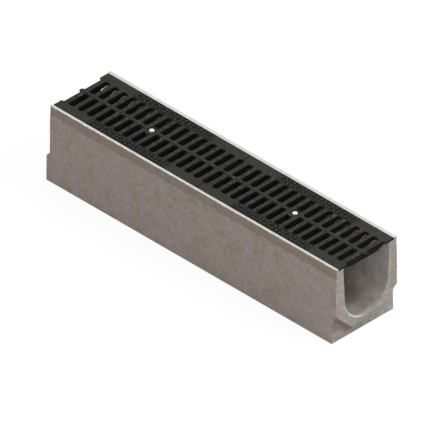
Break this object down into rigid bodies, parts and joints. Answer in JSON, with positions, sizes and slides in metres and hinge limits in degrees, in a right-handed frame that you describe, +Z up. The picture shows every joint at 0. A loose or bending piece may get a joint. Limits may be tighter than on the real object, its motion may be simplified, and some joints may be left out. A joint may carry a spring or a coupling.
{
  "type": "channel drain",
  "caption": "Concrete drainage channel with a round-bottomed trough, galvanised edge rails and bolted cast-iron slotted grates.",
  "frame": {"origin": "on the ground under the middle of the whole channel, tongue included", "axes": "+X along the channel towards the spigot end, +Y across it, +Z up"},
  "size_m": [1.0116, 0.2156, 0.228],
  "materials": {
    "concrete": "matte",
    "galvanised_rail": "satin",
    "anchor_steel": "matte",
    "cast_iron": "matte",
    "bolt_steel": "bright",
    "fixing_steel": "satin"
  },
  "bodies": {
    "root": {"channel_body": "concrete", "edge_rail_back": "galvanised_rail", "edge_rail_front": "galvanised_rail", "grate_1": "cast_iron", "grate_2": "cast_iron", "lock_bolt_1": "bolt_steel", "lock_bolt_2": "bolt_steel", "lock_nut_1": "fixing_steel", "lock_nut_2": "fixing_steel", "lock_washer_1": "fixing_steel", "lock_washer_2": "fixing_steel", "locking_bar_1": "fixing_steel", "locking_bar_2": "fixing_steel", "rail_anchor_back_1": "anchor_steel", "rail_anchor_back_2": "anchor_steel", "rail_anchor_back_3": "anchor_steel", "rail_anchor_back_4": "anchor_steel", "rail_anchor_front_1": "anchor_steel", "rail_anchor_front_2": "anchor_steel", "rail_anchor_front_3": "anchor_steel", "rail_anchor_front_4": "anchor_steel"}
  },
  "joints": []
}
